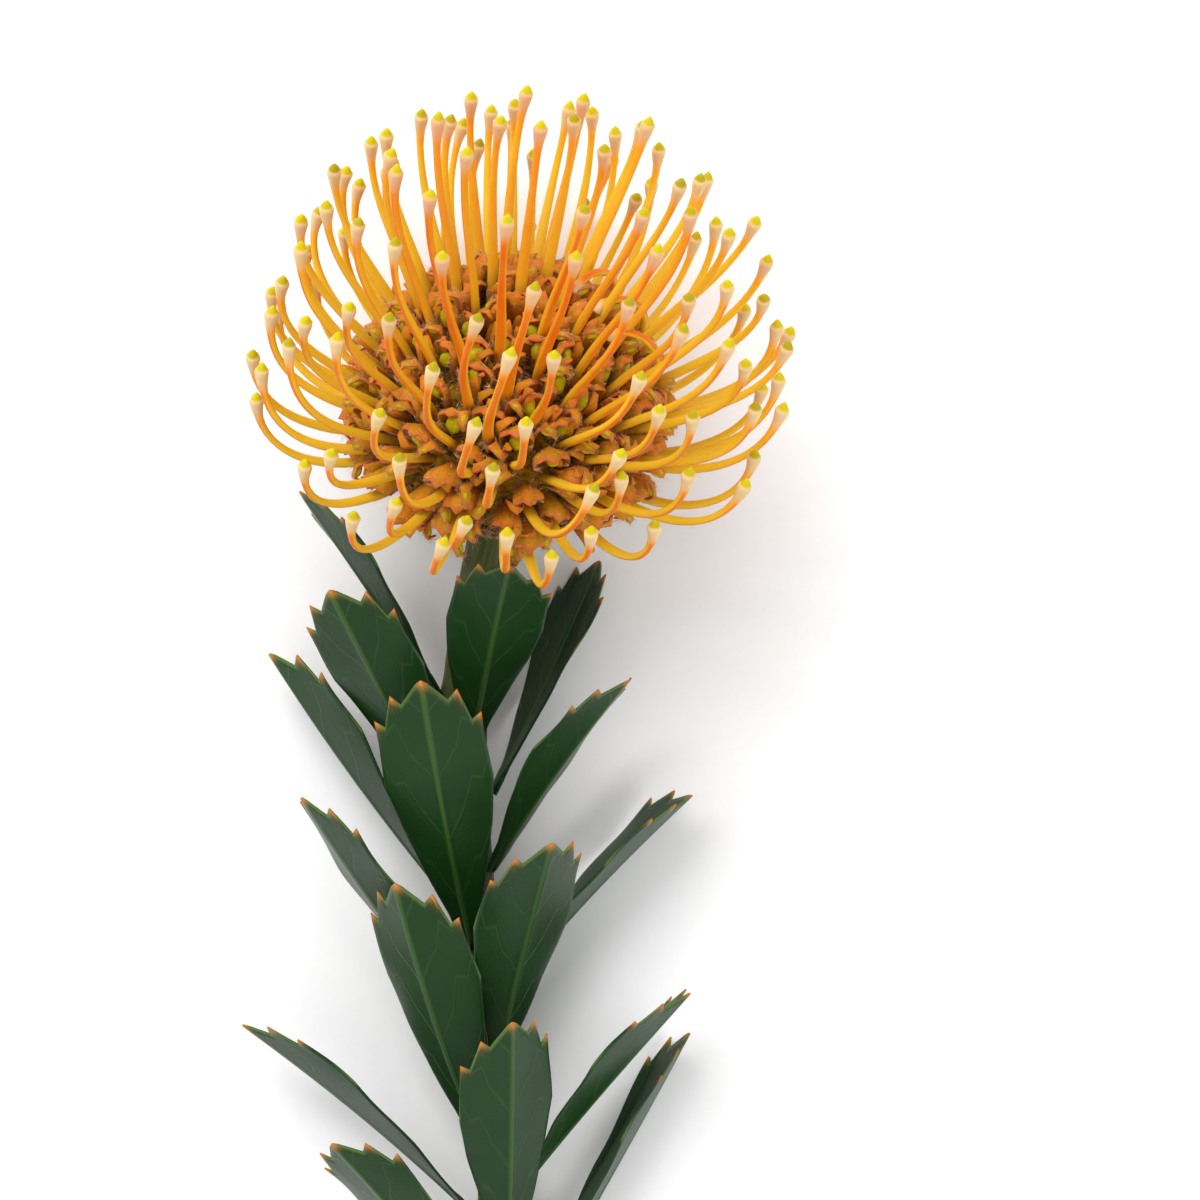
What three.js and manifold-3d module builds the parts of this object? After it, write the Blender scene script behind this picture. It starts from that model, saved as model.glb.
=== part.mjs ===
// A pincushion protea flower, cut with its leafy stem and laid on its back.
// The stem runs along -Y and its neck lifts the head, so the bowl of styles looks up at a slant.
// Sizes are millimetres and angles are degrees. The part rests on the plane z = 0.

import * as THREE from 'three';
import { mergeVertices } from 'three/addons/utils/BufferGeometryUtils.js';
import Module from 'manifold-3d';

const wasm = await Module();
wasm.setup();

// Driving dimensions of the head
const FLORETS = 124;
const GOLDEN_TURN = 137.507764;
const FIRST_FLORET = 13;
const LAST_FLORET = 122;
const LOWEST_LEAN = 113;
const LEAN_GROWTH = 1.7;
const HEAD_PITCH = 46;
const HEAD_ROLL = 7.3;
const HEAD_CENTRE = new THREE.Vector3(-1.04, 77.81, 32.5);
const CLEARANCE = 0.3;

// The receptacle and the packed feet of the florets make one egg-shaped core on a short stalk
const CORE_RADIUS = 24;
const CORE_HEIGHT = 20;
const CORE_SIDES = 16;
const STALK_RADIUS = 5;
const STALK_END = -23.5;

// A style is straight inside the head, then bows up and ends in a pollen presenter on the bowl
const STYLE_INSIDE = 17;
const STYLE_STRAIGHT = 0.3;
const STYLE_BOW = 0.35;
const STYLE_LEAN_IN = -4;
const STYLE_SPREAD = { tip: 2.2, lean: 7, sway: 7, angle: 1.5, turn: 3 };
const BOWL_RADIUS = 47.4;
const BOWL_TURN = 0.84;
const BOWL_HEIGHT = 19.5;
const BOWL_RISE = 40;
const BOWL_FALL = 0.9;
const BOWL_SHIFT = new THREE.Vector2(2, 0.6);
const STYLE_STATIONS = [0, 0.32, 0.45, 0.58, 0.71, 0.83, 0.92, 0.966, 1];
const STYLE_RADII = [1.35, 1.3, 1.2, 1.1, 1, 0.88, 0.8, 1.5, 0];
const CURVE_STEPS = 60;

// A few styles are still looped, with their tips held in the perianth
const HELD_STYLES = [37, 45, 53];
const LOOP_REACH = 11;
const LOOP_WIDTH = 1.5;
const LOOP_TURN = 150;
const LOOP_BACK = 13;

// A perianth's hood stands beside its style and rolls over, given as height and place up the head
const HOOD_EVERY = 2;
const HOOD_WIDTH = 4.6;
const HOOD_ASIDE = 2.8;
const HOOD_THICKNESS = 1;
const HOOD_PATH = [[-3, 3.4], [4, 3.4], [5.6, 1.7]];

// The involucre is the cup of small hairy bracts under the head
const BRACTS = 18;
const BRACT_LENGTH = 9;
const BRACT_WIDTH = 6.5;
const CUP_RIM = 130;
const CUP_FOOT = 164;
const CUP_THICKNESS = 1.1;

// The stem bends from the head's axis down to the surface
const STEM_SIDES = 12;
const STEM_STEPS = 18;
const STEM_POINTS = [[-8.6, -52, 1.2], [-6.5, -100, -0.4], [-1.5, -160, -2.5], [3.5, -212, -4.3]];
const STEM_AXIS_HEIGHT = 8.5;
const STEM_RADII = [5, 4.3, 3.9, 3.7, 3.8, 4.2];

// The leaves stand in a spiral on the stem, but for the side that it lies on, where they are stripped
const LEAF_PLACES = 28;
const LOWEST_TURN = -0.25;
const LEAF_LENGTH = 56;
const YOUNGEST_LEAF = 0.8;
const LEAF_HALF_WIDTH = 10;
const LEAF_THICKNESS = 0.7;
const FIRST_LEAF = 0.2;
const LAST_LEAF = 0.84;
const FIRST_LEAF_TURN = 160;
const LEAF_RISE = 38;
const LEAF_DRAW = 23;

const rad = THREE.MathUtils.degToRad;
const clamp = THREE.MathUtils.clamp;
const lerp = THREE.MathUtils.lerp;

const headPlace = new THREE.Matrix4()
  .makeRotationZ(rad(-HEAD_ROLL))
  .multiply(new THREE.Matrix4().makeRotationX(rad(HEAD_PITCH - 90)))
  .setPosition(HEAD_CENTRE);

// Draws a number from -1 to 1 that is always the same for the same two indices
function draw(index, kind) {
  const wave = Math.sin(index * 12.9898 + kind * 78.233 + 7) * 43758.5453;
  return 2 * (wave - Math.floor(wave)) - 1;
}

// Reads a list of values as one smooth run from 0 to 1
function along(values, share) {
  const place = clamp(share, 0, 1) * (values.length - 1);
  const low = Math.min(Math.floor(place), values.length - 2);
  return lerp(values[low], values[low + 1], place - low);
}

// Lifts a group of points together, so that none lies under the surface
function restOnSurface(points) {
  const lowest = Math.min(...points.map((point) => point.z));
  if (lowest < 0) {
    for (const point of points) point.z -= lowest;
  }
  return points;
}

// Closes a row of rings with equal counts of points into one body
function bodyFromRings(rings) {
  const points = [];
  const faces = [];
  const starts = rings.map((ring) => {
    const start = points.length;
    points.push(...ring);
    return start;
  });
  for (let k = 0; k < rings.length - 1; k += 1) {
    const sides = rings[k].length;
    for (let s = 0; s < sides; s += 1) {
      const next = (s + 1) % sides;
      const a = starts[k] + s;
      const b = starts[k] + next;
      if (rings[k + 1].length === 1) {
        faces.push([a, b, starts[k + 1]]);
      } else {
        const c = starts[k + 1] + next;
        const d = starts[k + 1] + s;
        faces.push([a, b, c], [a, c, d]);
      }
    }
  }
  const first = starts[0];
  for (let s = 1; s < rings[0].length - 1; s += 1) faces.push([first, first + s + 1, first + s]);
  const lastRing = rings[rings.length - 1];
  const last = starts[rings.length - 1];
  for (let s = 1; s < lastRing.length - 1; s += 1) faces.push([last, last + s, last + s + 1]);
  return bodyFromFaces(points, faces);
}

// Makes a geometry of points and faces, and turns it if its faces point inwards
function bodyFromFaces(points, faces) {
  let volume = 0;
  for (const [a, b, c] of faces) {
    volume += points[a].dot(new THREE.Vector3().crossVectors(points[b], points[c]));
  }
  const index = faces.flatMap(([a, b, c]) => (volume < 0 ? [a, c, b] : [a, b, c]));
  const geometry = new THREE.BufferGeometry();
  const coordinates = points.flatMap((point) => point.toArray());
  geometry.setAttribute('position', new THREE.Float32BufferAttribute(coordinates, 3));
  geometry.setIndex(index);
  return geometry;
}

function toSolid(geometry) {
  const vertProperties = new Float32Array(geometry.attributes.position.array);
  const triVerts = new Uint32Array(geometry.index.array);
  return new wasm.Manifold(new wasm.Mesh({ numProp: 3, vertProperties, triVerts }));
}

// Turns an outline round the head's axis. The outline ends on the axis or closes on itself
function turnedSolid(outline, sides) {
  const turned = new THREE.LatheGeometry(outline, sides);
  turned.deleteAttribute('normal');
  turned.deleteAttribute('uv');
  turned.rotateX(Math.PI / 2);
  turned.applyMatrix4(headPlace);
  const merged = mergeVertices(turned, 1e-3);
  const spots = merged.attributes.position;
  const readPoint = (_, k) => new THREE.Vector3().fromBufferAttribute(spots, k);
  const points = Array.from({ length: spots.count }, readPoint);
  const corners = Array.from(merged.index.array);
  const faces = [];
  for (let k = 0; k < corners.length; k += 3) {
    const [a, b, c] = corners.slice(k, k + 3);
    if (a !== b && b !== c && c !== a) faces.push([a, b, c]);
  }
  return toSolid(bodyFromFaces(points, faces));
}

// Joins solids into the one body that holds the most of them
function fuse(solids) {
  const parts = wasm.Manifold.union(solids).decompose();
  return parts.sort((a, b) => b.volume() - a.volume())[0];
}

function toGeometry(solid) {
  const mesh = solid.getMesh();
  const geometry = new THREE.BufferGeometry();
  geometry.setAttribute('position', new THREE.BufferAttribute(new Float32Array(mesh.vertProperties), 3));
  geometry.setIndex(new THREE.BufferAttribute(new Uint32Array(mesh.triVerts), 1));
  return geometry;
}

function finish(colour, roughness) {
  return new THREE.MeshStandardMaterial({ color: colour, roughness, metalness: 0 });
}

function piece(name, geometry, material) {
  const mesh = new THREE.Mesh(geometry, material);
  mesh.name = name;
  return mesh;
}

// Gives one floret's angle from the head's axis and its turn round it
function floret(index) {
  const top = Math.cos(rad(FIRST_FLORET));
  const bottom = Math.cos(rad(LAST_FLORET));
  const share = (index + 0.5) / FLORETS;
  const angle = Math.acos(lerp(top, bottom, share)) + rad(STYLE_SPREAD.angle) * draw(index, 1);
  const turn = index * rad(GOLDEN_TURN) + rad(STYLE_SPREAD.turn) * draw(index, 2);
  return { angle, turn };
}

// Places a point given by its distance from the axis, its turn and its height in the head
function inHead(radius, turn, height, shift = 0) {
  const point = new THREE.Vector3(radius * Math.sin(turn), radius * Math.cos(turn), height);
  point.x += BOWL_SHIFT.x * shift;
  point.y += BOWL_SHIFT.y * shift;
  return point.applyMatrix4(headPlace);
}

// Gives a floret's foot on the core and the ways it rises and leans back
function floretFrame(index) {
  const { angle, turn } = floret(index);
  const lean = rad(LOWEST_LEAN) * (angle / rad(LAST_FLORET)) ** LEAN_GROWTH;
  const foot = new THREE.Vector2(CORE_RADIUS * Math.sin(angle), CORE_HEIGHT * Math.cos(angle));
  const outward = new THREE.Vector2(Math.sin(lean), Math.cos(lean));
  const upward = new THREE.Vector2(-Math.cos(lean), Math.sin(lean));
  return { foot, outward, upward, turn };
}

// Places a point above a floret's foot: rise off the core, back towards the apex, aside round the head
function inFloret(index, rise, back, aside) {
  const { foot, outward, upward, turn } = floretFrame(index);
  const apart = 1 + rise / CORE_RADIUS;
  const spot = foot.addScaledVector(outward, rise).addScaledVector(upward, back * apart);
  const x = spot.x * Math.sin(turn) + aside * apart * Math.cos(turn);
  const y = spot.x * Math.cos(turn) - aside * apart * Math.sin(turn);
  return new THREE.Vector3(x, y, spot.y).applyMatrix4(headPlace);
}

// Follows a style that has sprung free, from inside the core to its tip on the bowl
function freeStyle(index) {
  const { angle } = floret(index);
  const { foot, outward, turn } = floretFrame(index);
  const sway = rad(STYLE_SPREAD.sway * draw(index, 5));
  const end = rad(STYLE_LEAN_IN + STYLE_SPREAD.lean * draw(index, 4));
  const tip = new THREE.Vector2(
    BOWL_RADIUS * Math.sin(BOWL_TURN * angle) + STYLE_SPREAD.tip * draw(index, 4),
    BOWL_HEIGHT + BOWL_RISE * Math.cos(BOWL_FALL * angle) + STYLE_SPREAD.tip * draw(index, 3),
  );
  const pull = foot.distanceTo(tip) * (1 + STYLE_BOW * (angle / rad(LAST_FLORET)));
  const points = [];
  for (let k = 0; k <= CURVE_STEPS; k += 1) {
    const share = k / CURVE_STEPS;
    const spot = new THREE.Vector2();
    if (share < STYLE_STRAIGHT) {
      spot.copy(foot).addScaledVector(outward, -STYLE_INSIDE * (1 - share / STYLE_STRAIGHT));
    } else {
      const t = (share - STYLE_STRAIGHT) / (1 - STYLE_STRAIGHT);
      const square = t * t;
      const cube = square * t;
      spot.addScaledVector(foot, 2 * cube - 3 * square + 1);
      spot.addScaledVector(outward, pull * (cube - 2 * square + t));
      spot.addScaledVector(tip, 3 * square - 2 * cube);
      spot.addScaledVector(new THREE.Vector2(Math.sin(end), Math.cos(end)), pull * (cube - square));
    }
    points.push(inHead(spot.x, turn + sway * share * share, spot.y, share * share));
  }
  return points;
}

// Follows a style that is still looped back to its own perianth
function heldStyle(index) {
  const points = [];
  for (let k = 0; k <= CURVE_STEPS; k += 1) {
    const share = k / CURVE_STEPS;
    const inside = -STYLE_INSIDE * Math.max(0, 1 - share / STYLE_STRAIGHT);
    const arc = rad(LOOP_TURN) * Math.max(0, (share - STYLE_STRAIGHT) / (1 - STYLE_STRAIGHT));
    const turnedIn = (1 - Math.cos(arc)) / 2;
    const rise = inside + LOOP_REACH * Math.sin(arc);
    points.push(inFloret(index, rise, LOOP_BACK * turnedIn, LOOP_WIDTH * turnedIn));
  }
  return points;
}

// Sweeps a three-sided tube along a row of points, with the radii at the named stations
function styleBody(points) {
  const curve = (share) => {
    const place = clamp(share, 0, 1) * (points.length - 1);
    const low = Math.min(Math.floor(place), points.length - 2);
    return points[low].clone().lerp(points[low + 1], place - low);
  };
  const across = new THREE.Vector3().subVectors(points[points.length - 1], points[0]).normalize();
  const side = new THREE.Vector3().crossVectors(curve(0.02).sub(points[0]), across);
  if (side.length() < 0.01) side.set(1, 0, 0);
  const rings = STYLE_STATIONS.map((share, k) => {
    const centre = curve(share);
    const heading = curve(share + 0.02).sub(curve(share - 0.02)).normalize();
    side.addScaledVector(heading, -side.dot(heading)).normalize();
    if (STYLE_RADII[k] === 0) return [centre];
    const other = new THREE.Vector3().crossVectors(heading, side);
    const ring = [];
    for (let s = 0; s < 3; s += 1) {
      const turn = (s * 2 * Math.PI) / 3;
      const point = centre.clone().addScaledVector(side, STYLE_RADII[k] * Math.cos(turn));
      ring.push(point.addScaledVector(other, STYLE_RADII[k] * Math.sin(turn)));
    }
    return restOnSurface(ring);
  });
  return toSolid(bodyFromRings(rings));
}

// The egg-shaped core with its stalk
function coreBody() {
  const outline = [new THREE.Vector2(0, CORE_HEIGHT)];
  for (let lean = 15; lean < 165; lean += 15) {
    outline.push(new THREE.Vector2(CORE_RADIUS * Math.sin(rad(lean)), CORE_HEIGHT * Math.cos(rad(lean))));
  }
  const shoulder = -CORE_HEIGHT * Math.sqrt(1 - (STALK_RADIUS / CORE_RADIUS) ** 2);
  outline.push(new THREE.Vector2(STALK_RADIUS, shoulder));
  outline.push(new THREE.Vector2(STALK_RADIUS, STALK_END));
  outline.push(new THREE.Vector2(0, STALK_END));
  return turnedSolid(outline, CORE_SIDES);
}

// One perianth: three joined tepals that rise beside the style and roll over it
function hoodBody(index) {
  const size = 1 + 0.1 * draw(index, 6);
  const rings = HOOD_PATH.map(([rise, back], k) => {
    const before = HOOD_PATH[Math.max(k - 1, 0)];
    const after = HOOD_PATH[Math.min(k + 1, HOOD_PATH.length - 1)];
    const heading = new THREE.Vector2(after[0] - before[0], after[1] - before[1]).normalize();
    const half = HOOD_THICKNESS / 2;
    const near = [rise * size - heading.y * half, back * size + heading.x * half];
    const far = [rise * size + heading.y * half, back * size - heading.x * half];
    const wide = (HOOD_WIDTH / 2) * size * (k === 0 ? 0.6 : 1);
    const place = (spot, side) => inFloret(index, ...spot, HOOD_ASIDE + side);
    return [place(near, -wide), place(near, wide), place(far, wide), place(far, -wide)];
  });
  return toSolid(bodyFromRings(rings));
}

// Places a point under the head by its angle from the axis, its turn and its distance from the core
function underHead(lean, turn, gap) {
  return inHead((CORE_RADIUS + gap) * Math.sin(lean), turn, (CORE_HEIGHT + gap) * Math.cos(lean));
}

// One pointed bract, thickest along its middle
function bractBody(index) {
  const turn = index * rad(GOLDEN_TURN);
  const foot = rad(CUP_FOOT - 3 * (index % 3));
  const tip = foot - BRACT_LENGTH / CORE_RADIUS;
  const near = CLEARANCE + 0.5;
  const far = near + CUP_THICKNESS + 0.5 + 0.3 * (index % 3);
  const ring = (share, width) => {
    const lean = lerp(foot, tip, share);
    const wide = (BRACT_WIDTH * width) / 2 / ((CORE_RADIUS + near) * Math.sin(lean));
    return [
      underHead(lean, turn - wide, near),
      underHead(lean, turn + wide, near),
      underHead(lean, turn + wide / 2, far),
      underHead(lean, turn - wide / 2, far),
    ];
  };
  return toSolid(bodyFromRings([ring(0, 0.6), ring(0.5, 1), [underHead(tip, turn, near + 1)]]));
}

// The thin cup that the bracts grow from, open for the stalk
function cupBody() {
  const inner = [];
  const outer = [];
  const near = CLEARANCE + 0.2;
  const far = near + CUP_THICKNESS;
  for (let step = 0; step <= 3; step += 1) {
    const lean = rad(lerp(CUP_RIM, CUP_FOOT, step / 3));
    const point = (gap) => {
      return new THREE.Vector2((CORE_RADIUS + gap) * Math.sin(lean), (CORE_HEIGHT + gap) * Math.cos(lean));
    };
    inner.push(point(near));
    outer.push(point(far));
  }
  const outline = [...outer, ...inner.reverse()];
  outline.push(outline[0].clone());
  return turnedSolid(outline, CORE_SIDES);
}

// The stem's middle line, from under the head to the cut end
function stemCurve() {
  const start = new THREE.Vector3(0, 0, STALK_END - CLEARANCE).applyMatrix4(headPlace);
  const below = new THREE.Vector3(0, 0, STALK_END - 5).applyMatrix4(headPlace);
  const rest = STEM_POINTS.map(([x, y, z]) => {
    return new THREE.Vector3(HEAD_CENTRE.x + x, HEAD_CENTRE.y + y, STEM_AXIS_HEIGHT + z);
  });
  return new THREE.CatmullRomCurve3([start, below, ...rest], false, 'centripetal');
}

function stemBody(curve) {
  const frames = curve.computeFrenetFrames(STEM_STEPS, false);
  const rings = [];
  for (let k = 0; k <= STEM_STEPS; k += 1) {
    const share = k / STEM_STEPS;
    const centre = curve.getPointAt(share);
    const radius = along(STEM_RADII, share);
    const ring = [];
    for (let s = 0; s < STEM_SIDES; s += 1) {
      const turn = ((s + 0.5) * 2 * Math.PI) / STEM_SIDES;
      const point = centre.clone().addScaledVector(frames.normals[k], radius * Math.cos(turn));
      ring.push(point.addScaledVector(frames.binormals[k], radius * Math.sin(turn)));
    }
    rings.push(restOnSurface(ring));
  }
  return bodyFromRings(rings);
}

// The outline of a leaf as half widths, with the teeth as short rays round the tip
const LEAF_SHARES = [0, 0.14, 0.3, 0.47, 0.63, 0.78];
const LEAF_WIDTHS = [0.16, 0.3, 0.58, 0.84, 1, 0.97];
const TIP_RAYS = [[0.86, 0.98], [0.84, 0.8], [0.95, 0.62], [0.92, 0.42], [1, 0.12]];

function leafTurn(index) {
  return rad(FIRST_LEAF_TURN) + index * rad(GOLDEN_TURN) + rad(6) * draw(index, LEAF_DRAW);
}

function leafBody(index, curve) {
  const share = lerp(FIRST_LEAF, LAST_LEAF, index / (LEAF_PLACES - 1));
  const base = curve.getPointAt(share);
  const up = curve.getTangentAt(share).negate();
  const turn = leafTurn(index);
  const level = new THREE.Vector3().crossVectors(up, new THREE.Vector3(0, 0, 1)).normalize();
  const top = new THREE.Vector3().crossVectors(level, up);
  const out = level.clone().multiplyScalar(Math.cos(turn)).addScaledVector(top, Math.sin(turn));
  const side = new THREE.Vector3().crossVectors(out, up);
  const age = lerp(YOUNGEST_LEAF, 1, Math.min(1, index / 8));
  const length = LEAF_LENGTH * age * (1 + 0.08 * draw(index, LEAF_DRAW + 1));
  const half = LEAF_HALF_WIDTH * age * (1 + 0.1 * draw(index, LEAF_DRAW + 2));
  let rise = rad(LEAF_RISE + 7 * draw(index, LEAF_DRAW + 3));
  if (out.z < 0) rise = Math.min(rise, Math.asin(Math.min(1, 0.13 / -out.z)));
  const curl = rad(16 * draw(index, LEAF_DRAW + 4) - 4);
  const cup = 0.28 + 0.1 * draw(index, LEAF_DRAW + 5);
  const twist = rad(24 * draw(index, LEAF_DRAW + 6));
  const seat = along(STEM_RADII, share) + CLEARANCE + LEAF_THICKNESS * 0.8;

  const middle = [];
  const spot = base.clone().addScaledVector(out, seat);
  const steps = 24;
  for (let k = 0; k <= steps; k += 1) {
    const lean = rise + curl * (k / steps);
    const heading = up.clone().multiplyScalar(Math.cos(lean)).addScaledVector(out, Math.sin(lean));
    const face = up.clone().multiplyScalar(Math.sin(lean)).addScaledVector(out, -Math.cos(lean));
    middle.push({ spot: spot.clone(), heading, face });
    spot.addScaledVector(heading, length / steps);
  }
  const surface = (reach, wide) => {
    const place = clamp(reach, 0, 1) * steps;
    const low = Math.min(Math.floor(place), steps - 1);
    const a = middle[low];
    const b = middle[low + 1];
    const centre = a.spot.clone().lerp(b.spot, place - low);
    const face = a.face.clone().lerp(b.face, place - low).normalize();
    const roll = twist * reach;
    const across = side.clone().multiplyScalar(Math.cos(roll)).addScaledVector(face, Math.sin(roll));
    const facing = face.clone().multiplyScalar(Math.cos(roll)).addScaledVector(side, -Math.sin(roll));
    const bow = cup * Math.abs(wide) * half * Math.min(1, reach * 3);
    return {
      point: centre.addScaledVector(across, wide * half).addScaledVector(facing, bow),
      facing,
    };
  };

  const pairs = [];
  const faces = [];
  const thickness = (reach) => LEAF_THICKNESS * (reach < 0.1 ? 1.6 : 1);
  const vertex = (reach, wide) => {
    const { point, facing } = surface(reach, wide);
    const half = thickness(reach) / 2;
    const upper = point.clone().addScaledVector(facing, half);
    const lower = point.clone().addScaledVector(facing, -half);
    restOnSurface([upper, lower]);
    pairs.push([upper, lower]);
    return pairs.length - 1;
  };
  const rib = LEAF_SHARES.map((reach) => vertex(reach, 0));
  const left = LEAF_SHARES.map((reach, k) => vertex(reach, -LEAF_WIDTHS[k]));
  const right = LEAF_SHARES.map((reach, k) => vertex(reach, LEAF_WIDTHS[k]));
  const leftRays = TIP_RAYS.map(([reach, wide]) => vertex(reach, -wide));
  const rightRays = TIP_RAYS.map(([reach, wide]) => vertex(reach, wide));
  for (let k = 0; k < rib.length - 1; k += 1) {
    faces.push([rib[k], rib[k + 1], left[k + 1]], [rib[k], left[k + 1], left[k]]);
    faces.push([rib[k], right[k + 1], rib[k + 1]], [rib[k], right[k], right[k + 1]]);
  }
  const end = rib[rib.length - 1];
  const tip = [left[left.length - 1], ...leftRays, ...rightRays.reverse(), right[right.length - 1]];
  for (let k = 0; k < tip.length - 1; k += 1) faces.push([end, tip[k + 1], tip[k]]);
  const edge = [...left, ...tip.slice(1, -1), ...right.slice().reverse(), rib[0]];
  const points = pairs.flat();
  const shell = [];
  for (const [a, b, c] of faces) shell.push([2 * a, 2 * b, 2 * c], [2 * a + 1, 2 * c + 1, 2 * b + 1]);
  for (let k = 0; k < edge.length; k += 1) {
    const a = edge[k];
    const b = edge[(k + 1) % edge.length];
    shell.push([2 * a, 2 * b, 2 * b + 1], [2 * a, 2 * b + 1, 2 * a + 1]);
  }
  return bodyFromFaces(points, shell);
}

const headSolids = [coreBody()];
for (let index = 0; index < FLORETS; index += 1) {
  const path = HELD_STYLES.includes(index) ? heldStyle(index) : freeStyle(index);
  headSolids.push(styleBody(path));
  if (index % HOOD_EVERY === 0) headSolids.push(hoodBody(index));
}
const involucreSolids = [cupBody()];
for (let index = 0; index < BRACTS; index += 1) involucreSolids.push(bractBody(index));

const flower = new THREE.Group();
flower.name = 'pincushion_flower';
const middleLine = stemCurve();
flower.add(piece('flower_head', toGeometry(fuse(headSolids)), finish(0xee7a14, 0.5)));
flower.add(piece('involucre', toGeometry(fuse(involucreSolids)), finish(0x6b5a2e, 0.8)));
flower.add(piece('stem', stemBody(middleLine), finish(0x55562c, 0.75)));
const places = Array.from({ length: LEAF_PLACES }, (_, index) => index);
const grown = places.filter((index) => Math.sin(leafTurn(index)) > LOWEST_TURN);
grown.forEach((index, order) => {
  const name = `leaf_${String(order + 1).padStart(2, '0')}`;
  flower.add(piece(name, leafBody(index, middleLine), finish(0x1e4023, 0.55)));
});

export default flower;
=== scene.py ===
"""A cut pincushion protea flower on a pale table: styles, perianths, bracts, stem and leaves."""

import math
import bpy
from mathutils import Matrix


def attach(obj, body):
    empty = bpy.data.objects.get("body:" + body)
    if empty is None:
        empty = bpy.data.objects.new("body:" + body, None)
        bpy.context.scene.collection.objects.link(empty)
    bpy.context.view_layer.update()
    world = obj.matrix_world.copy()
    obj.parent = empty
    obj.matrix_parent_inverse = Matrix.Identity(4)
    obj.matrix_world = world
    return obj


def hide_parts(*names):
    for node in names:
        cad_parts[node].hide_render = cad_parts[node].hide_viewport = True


bl_info = {
    "name": "Pincushion protea flower",
    "version": (1, 0, 0),
    "blender": (4, 5, 0),
    "location": "3D Viewport > Sidebar > Flower",
    "description": "Dresses the solids of a cut pincushion flower and sets up a bright table scene",
    "category": "Add Mesh",
}

from functools import partial

import bmesh
import bpy
from mathutils import Matrix, Vector

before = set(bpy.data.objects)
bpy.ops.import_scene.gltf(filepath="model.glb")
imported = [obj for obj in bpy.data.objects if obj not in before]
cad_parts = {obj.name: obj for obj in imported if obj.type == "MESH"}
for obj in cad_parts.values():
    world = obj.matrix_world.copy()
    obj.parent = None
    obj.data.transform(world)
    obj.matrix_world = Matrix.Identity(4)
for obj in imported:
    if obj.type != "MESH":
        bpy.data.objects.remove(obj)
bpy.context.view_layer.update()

MM = 0.001

# The head: where it is, how it leans, and how its florets are set round it, as in the solids
HEAD_CENTRE = Vector((-1.04, 77.81, 32.5)) * MM
HEAD_PITCH = 46
HEAD_ROLL = 7.3
FLORETS = 124
GOLDEN_TURN = 137.507764
FIRST_FLORET = 13
LAST_FLORET = 122
LOWEST_LEAN = 113
LEAN_GROWTH = 1.7
CORE_RADIUS = 24 * MM
CORE_HEIGHT = 20 * MM
CORE_SIDES = 40
STALK_RADIUS = 5 * MM
STALK_END = -23.5 * MM
CLEARANCE = 0.3 * MM

# The styles: straight inside the head, then bowed up so that their tips form a bowl
STYLE_INSIDE = 17 * MM
STYLE_STRAIGHT = 0.3
STYLE_BOW = 0.35
STYLE_LEAN_IN = -4
BOWL_RADIUS = 47.4 * MM
BOWL_TURN = 0.84
BOWL_HEIGHT = 19.5 * MM
BOWL_RISE = 40 * MM
BOWL_FALL = 0.9
SPREAD_TIP = 2.2 * MM
SPREAD_LEAN = 7
SPREAD_SWAY = 7
SPREAD_ANGLE = 1.5
SPREAD_TURN = 3
BOWL_SHIFT = Vector((2, 0.6, 0)) * MM
CURVE_STEPS = 60
HELD_STYLES = (37, 45, 53)
LOOP_REACH = 11 * MM
LOOP_WIDTH = 1.5 * MM
LOOP_BACK = 13 * MM
LOOP_TURN = 150

# Shares of a style's length and its radius there in mm: tube, narrow neck, pollen presenter, cap
STYLE_OUTLINE = (
    (0.12, 0), (0.12, 0.92), (0.22, 0.97), (0.3, 0.97), (0.34, 0.96),
    (0.38, 0.94), (0.42, 0.92), (0.46, 0.9), (0.5, 0.87), (0.54, 0.84),
    (0.58, 0.81), (0.62, 0.78), (0.66, 0.75), (0.7, 0.72), (0.74, 0.69),
    (0.78, 0.67), (0.82, 0.66), (0.855, 0.67), (0.885, 0.73), (0.907, 0.84),
    (0.925, 1), (0.942, 1.17), (0.957, 1.3), (0.967, 1.34), (0.973, 1.22),
    (0.977, 0.96), (0.984, 0.78), (0.992, 0.44), (1, 0),
)
STYLE_SIDES = 8
STYLE_FLATTENING = 0.14

# The wool between the florets, and the florets at the apex that have not opened
WOOL_RADIUS = 22 * MM
WOOL_HEIGHT = 16.5 * MM
YOUNG_FLORETS = 14
BUD_RADIUS = 1.1 * MM
BUD_OUTLINE = ((0, 0), (0.8, 0.05), (1, 0.3), (0.9, 0.6), (0.55, 0.88), (0, 1))

# A perianth's bonnet stands on the apex side of its style and rolls over towards it
PERIANTH_MARKS = ("share", "margin", "ridge", "inside", "age")
HOOD_FOOT = -3.4 * MM
HOOD_TOP = 5 * MM
HOOD_BACK = 4 * MM
HOOD_ROLL_RADIUS = 1.7 * MM
HOOD_ROLL = 84
HOOD_RISING = 0.78
HOOD_BEND = 102
HOOD_TWIST = 24
HOOD_NOD = 7
HOOD_DEPTH = 1.8 * MM
HOOD_THICKNESS = 0.4 * MM
HOOD_RIDGE = 0.55 * MM
HOOD_SHARES = (0, 0.3, 0.62, 0.85, 1)
HOOD_WIDTHS = (0.6, 0.8, 0.96, 1, 0.9)

# Four strips of each perianth stand round the style and curl outward
TEPAL_TOP = 4.6 * MM
TEPAL_AWAY = (2.1 * MM, 2.1 * MM, 3.3 * MM, 3.2 * MM)
TEPAL_CURL_RADIUS = 1.2 * MM
TEPAL_CURL = (190, 170, 75, 60)
TEPAL_TURN = (30, 135, 82, 174)
TEPAL_RISING = 0.7

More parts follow.
